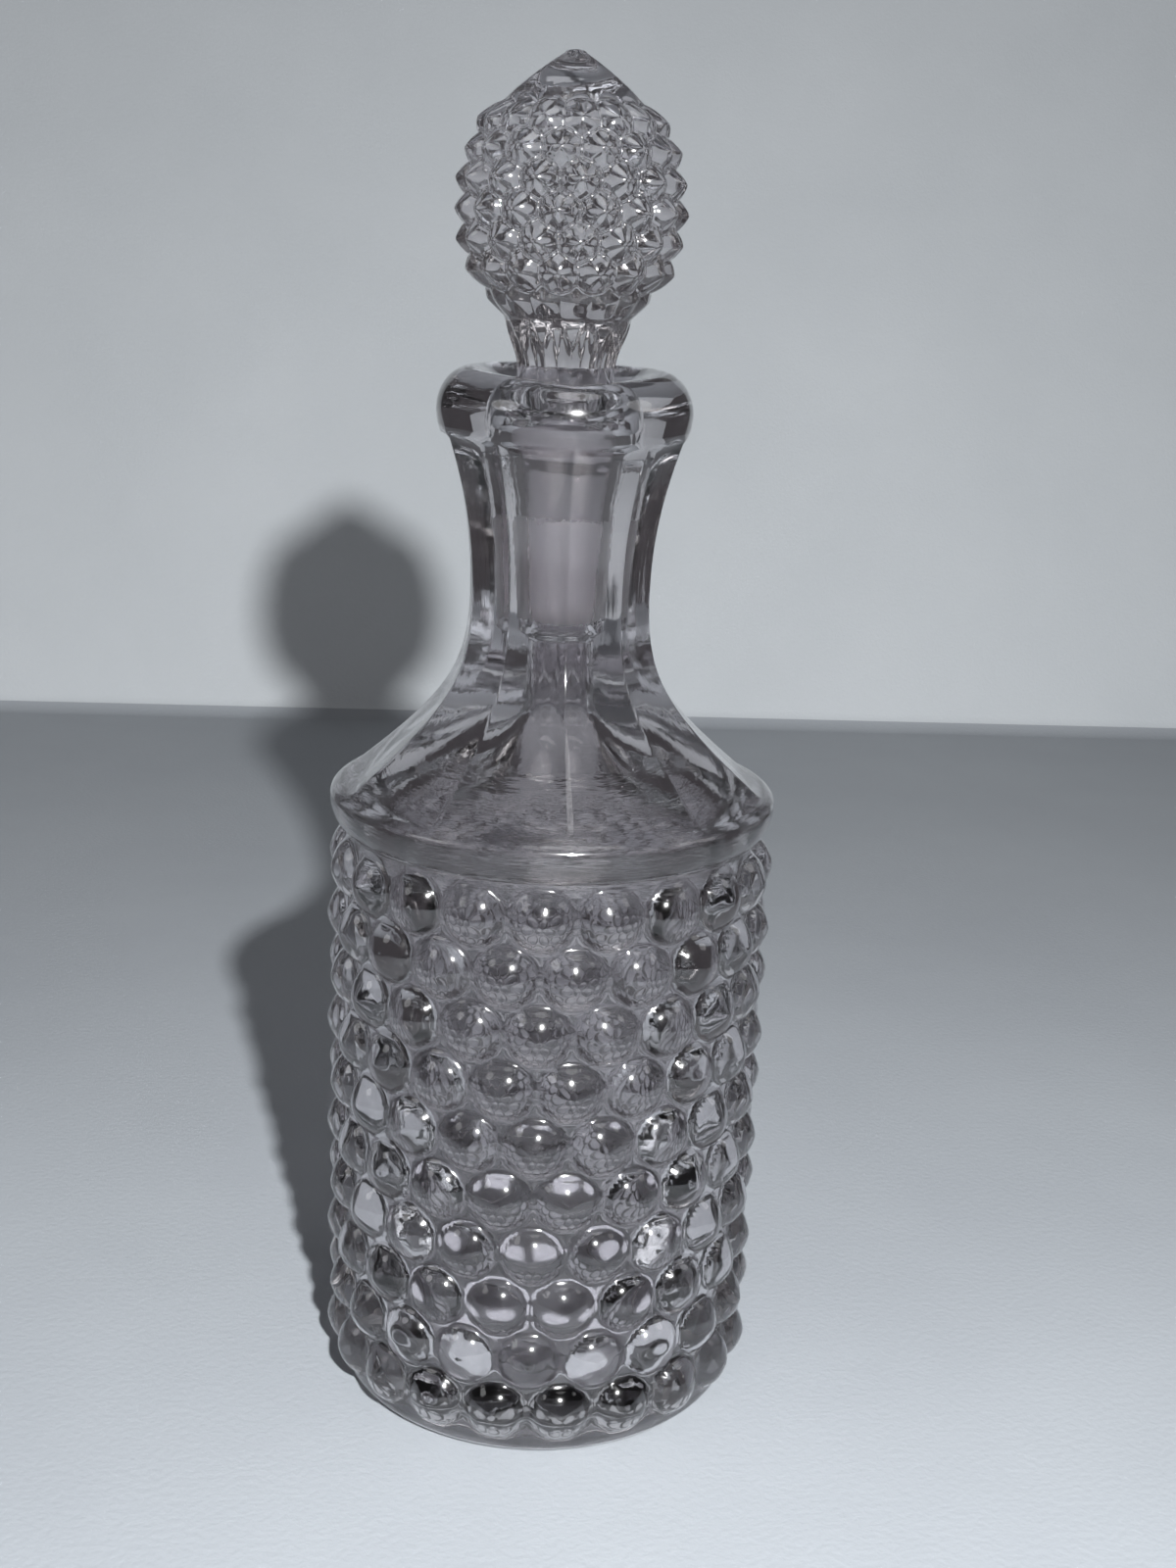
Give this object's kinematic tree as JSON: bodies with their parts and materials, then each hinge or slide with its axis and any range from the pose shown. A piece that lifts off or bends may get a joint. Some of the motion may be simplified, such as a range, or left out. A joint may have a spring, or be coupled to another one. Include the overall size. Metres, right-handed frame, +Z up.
{
  "type": "glass cruet",
  "caption": "Stoppered glass cruet for oil or vinegar: hobnail cylinder body, fluted neck, rolled lip with a small spout, and a hobnail stopper with a ground plug.",
  "frame": {"origin": "middle of the foot, on the surface that the bottle stands on", "axes": "+Z up along the bottle's axis, -Y towards the pouring spout, +X to the right of the spout seen from the front"},
  "size_m": [0.064, 0.064, 0.1905],
  "materials": {
    "clear_glass": "clear pressed glass, fire polished, with a faint violet grey tint",
    "stopper_glass": "clear pressed glass above the lip, ground to a fine matt on the plug"
  },
  "bodies": {
    "bottle": {"bottle": "clear_glass"},
    "stopper": {"stopper": "stopper_glass"}
  },
  "joints": [
    {"name": "stopper_lift", "type": "slide", "parent": "bottle", "child": "stopper", "axis": [0, 0, 1], "range_m": [0, 0.036]}
  ]
}
